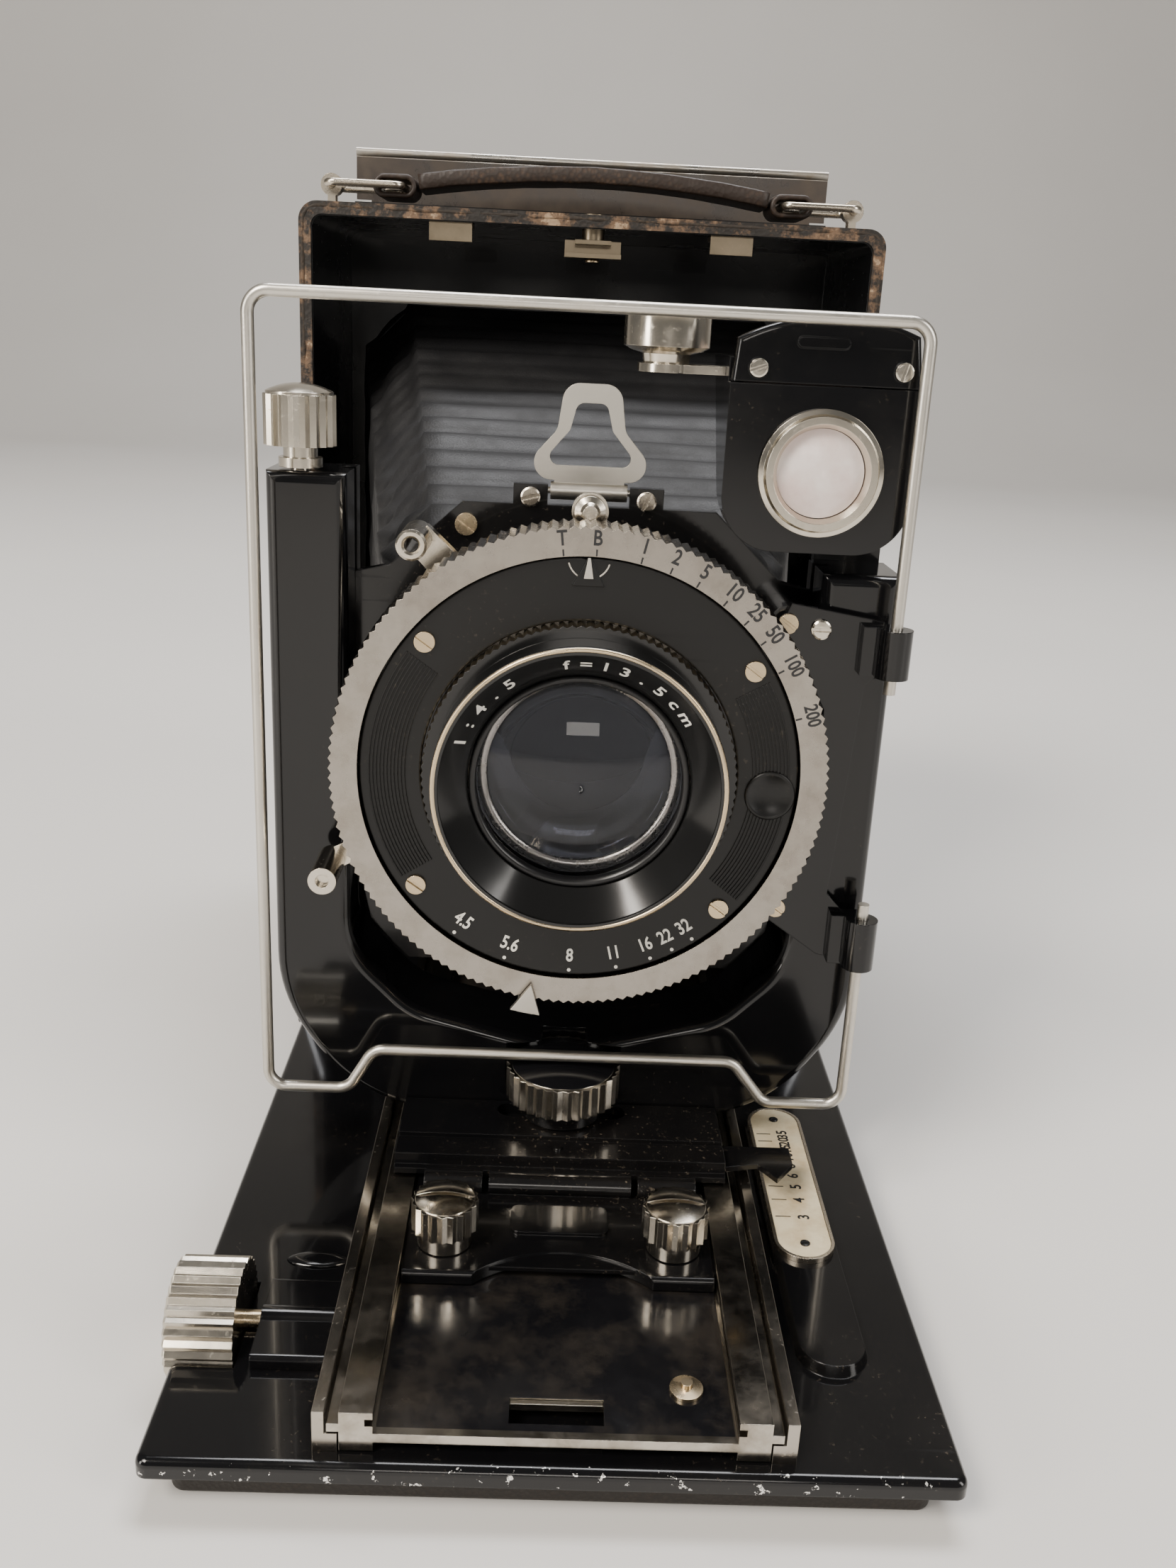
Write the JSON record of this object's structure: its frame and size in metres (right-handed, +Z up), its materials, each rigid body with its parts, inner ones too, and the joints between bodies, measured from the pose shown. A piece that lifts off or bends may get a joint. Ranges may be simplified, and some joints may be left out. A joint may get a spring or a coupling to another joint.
{
  "type": "folding plate camera",
  "caption": "Folding plate camera standing open: leather-covered body, tapering bellows, U-shaped standard with leaf shutter and lens, wire sports frame, brilliant finder and drop bed.",
  "frame": {"origin": "on the table under the front rim of the body, below the lens axis", "axes": "+Z up, +Y from the lens towards the plate, +X to the right seen from the front"},
  "size_m": [0.114, 0.2088, 0.1767],
  "materials": {
    "black_enamel": "glossy black stoving enamel, chipped at the edges",
    "satin_black": "satin black paint",
    "grained_leather": "black grained leather worn brown on the edges",
    "bellows_leather": "thin pleated black leather",
    "brown_leather": "dark brown strap leather with worn raw edges",
    "nickel": "polished nickel plate, slightly yellowed",
    "satin_nickel": "satin nickel silver",
    "bare_steel": "dull grey tinned sheet steel",
    "brass": "dull brass",
    "ivory": "ivory-coloured celluloid",
    "lens_glass": "clear polished glass",
    "finder_glass": "glass with a pale pinkish sheen",
    "red_glass": "red-tinted glass",
    "silvered_mirror": "silvered glass"
  },
  "bodies": {
    "camera_body": {"body_shell": "black_enamel", "leather_covering": "grained_leather", "back_frame": "satin_black", "bellows": "bellows_leather", "body_rails": "satin_black", "bed_clips": "nickel", "strap_eyelets": "nickel", "tripod_bushes": "nickel", "bed_plate": "black_enamel", "bed_leather": "grained_leather", "bed_hinge_pin": "nickel", "bed_braces": "black_enamel", "left_track": "nickel", "right_track": "nickel", "distance_scale": "ivory", "scale_rim": "nickel", "pinion_housing": "black_enamel"},
    "holder": {"plate_holder": "satin_black"},
    "slide": {"dark_slide": "bare_steel"},
    "latch": {"bed_latch": "nickel"},
    "strap": {"handle_strap": "brown_leather"},
    "link_left": {"left_link": "nickel"},
    "link_right": {"right_link": "nickel"},
    "foot_rest": {"bed_foot": "nickel"},
    "focus_wheel": {"focus_knob": "nickel", "focus_pinion": "brass"},
    "carriage": {"carriage_plate": "nickel", "stop_pin": "brass"},
    "standard": {"standard_foot": "black_enamel", "cross_rail": "black_enamel", "distance_pointer": "black_enamel"},
    "grip_left": {"left_grip": "nickel"},
    "grip_right": {"right_grip": "nickel"},
    "front_frame": {"u_frame": "black_enamel"},
    "cross_screw": {"cross_knob": "nickel"},
    "rise_screw": {"rise_knob": "nickel"},
    "finder": {"finder_body": "black_enamel", "finder_cover": "black_enamel", "finder_bezel": "nickel", "finder_lens": "finder_glass", "finder_screen": "finder_glass", "finder_mirror": "silvered_mirror", "level_cup": "nickel", "level_vial": "red_glass"},
    "lens_panel": {"lens_board": "black_enamel", "slotted_screws": "nickel", "wire_bracket": "black_enamel", "shutter_case": "black_enamel", "face_plate": "satin_black", "lens_barrel": "black_enamel", "front_glass": "lens_glass", "iris_blades": "satin_black", "rear_cell": "satin_black", "cable_socket": "nickel"},
    "sports_frame": {"wire_frame": "satin_nickel"},
    "pull": {"pull_loop": "satin_nickel"},
    "speed_dial": {"speed_ring": "satin_nickel"},
    "aperture": {"aperture_lever": "satin_nickel"},
    "cocking": {"cocking_lever": "nickel"},
    "release": {"release_lever": "nickel"}
  },
  "joints": [
    {"name": "focus_slide", "type": "slide", "parent": "camera_body", "child": "carriage", "axis": [0, -1, 0], "range_m": [0, 0.1], "deforming": ["bellows"]},
    {"name": "focus_knob_turn", "type": "hinge", "parent": "camera_body", "child": "focus_wheel", "pos_m": [-0.047, -0.1249, 0.0088], "axis": [1, 0, 0], "range_deg": [0, 2292]},
    {"name": "standard_slide", "type": "slide", "parent": "carriage", "child": "standard", "axis": [0, 1, 0], "range_m": [0, 0.1], "deforming": ["bellows"]},
    {"name": "left_grip_pinch", "type": "slide", "parent": "standard", "child": "grip_left", "axis": [1, 0, 0], "range_m": [0, 0.002], "stiffness_N_per_m": 300},
    {"name": "right_grip_pinch", "type": "slide", "parent": "standard", "child": "grip_right", "axis": [-1, 0, 0], "range_m": [0, 0.002], "stiffness_N_per_m": 300},
    {"name": "cross_shift", "type": "slide", "parent": "standard", "child": "front_frame", "axis": [1, 0, 0], "range_m": [-0.008, 0.008]},
    {"name": "cross_knob_turn", "type": "hinge", "parent": "front_frame", "child": "cross_screw", "pos_m": [0, -0.083, 0.024], "axis": [0, 0, 1], "range_deg": [-306, 306]},
    {"name": "rise", "type": "slide", "parent": "front_frame", "child": "lens_panel", "axis": [0, 0, 1], "range_m": [0, 0.006]},
    {"name": "rise_knob_turn", "type": "hinge", "parent": "front_frame", "child": "rise_screw", "pos_m": [-0.0426, -0.0755, 0.12], "axis": [0, 0, 1], "range_deg": [-1730, 0]},
    {"name": "finder_turn", "type": "hinge", "parent": "front_frame", "child": "finder", "pos_m": [0.0413, -0.065, 0.116], "axis": [0, 1, 0], "range_deg": [0, 90]},
    {"name": "sports_frame_swing", "type": "hinge", "parent": "lens_panel", "child": "sports_frame", "pos_m": [0.0457, -0.0852, 0.074], "axis": [0, 0, 1], "range_deg": [0, 178]},
    {"name": "pull_loop_fold", "type": "hinge", "parent": "lens_panel", "child": "pull", "pos_m": [0, -0.0705, 0.1174], "axis": [1, 0, 0], "range_deg": [0, 75]},
    {"name": "speed_ring_turn", "type": "hinge", "parent": "lens_panel", "child": "speed_dial", "pos_m": [0, -0.0945, 0.0807], "axis": [0, -1, 0], "range_deg": [-8, 70]},
    {"name": "aperture_turn", "type": "hinge", "parent": "lens_panel", "child": "aperture", "pos_m": [0, -0.0863, 0.0807], "axis": [0, -1, 0], "range_deg": [-24, 44]},
    {"name": "cocking_turn", "type": "hinge", "parent": "lens_panel", "child": "cocking", "pos_m": [0, -0.0877, 0.0807], "axis": [0, -1, 0], "range_deg": [-40, 0], "stiffness_Nm_per_rad": 0.02},
    {"name": "release_press", "type": "hinge", "parent": "lens_panel", "child": "release", "pos_m": [0, -0.0848, 0.0807], "axis": [0, -1, 0], "range_deg": [0, 10], "stiffness_Nm_per_rad": 0.1},
    {"name": "strap_lift", "type": "slide", "parent": "camera_body", "child": "strap", "axis": [0, 0, 1], "range_m": [0, 0.009]},
    {"name": "left_link_turn", "type": "hinge", "parent": "camera_body", "child": "link_left", "pos_m": [-0.054, 0.027, 0.1663], "axis": [0, -1, 0], "range_deg": [0, 37]},
    {"name": "right_link_turn", "type": "hinge", "parent": "camera_body", "child": "link_right", "pos_m": [0.054, 0.027, 0.1663], "axis": [0, 1, 0], "range_deg": [0, 37]},
    {"name": "holder_slide", "type": "slide", "parent": "camera_body", "child": "holder", "axis": [0, 0, 1], "range_m": [0, 0.15]},
    {"name": "dark_slide_pull", "type": "slide", "parent": "holder", "child": "slide", "axis": [0, 0, 1], "range_m": [0, 0.125]},
    {"name": "latch_press", "type": "slide", "parent": "camera_body", "child": "latch", "axis": [0, 0, -1], "range_m": [0, 0.0015], "stiffness_N_per_m": 600},
    {"name": "foot_rest_fold", "type": "hinge", "parent": "camera_body", "child": "foot_rest", "pos_m": [0, -0.118, 0.0011], "axis": [1, 0, 0], "range_deg": [0, 90]}
  ],
  "couplings": [
    {"joint": "focus_knob_turn", "follows": "focus_slide", "rad_per_m": 400},
    {"joint": "right_grip_pinch", "follows": "left_grip_pinch", "ratio": 1},
    {"joint": "cross_knob_turn", "follows": "cross_shift", "rad_per_m": 667},
    {"joint": "rise_knob_turn", "follows": "rise", "rad_per_m": -5026.5},
    {"joint": "left_link_turn", "follows": "strap_lift", "rad_per_m": 71.5},
    {"joint": "right_link_turn", "follows": "strap_lift", "rad_per_m": 71.5}
  ]
}
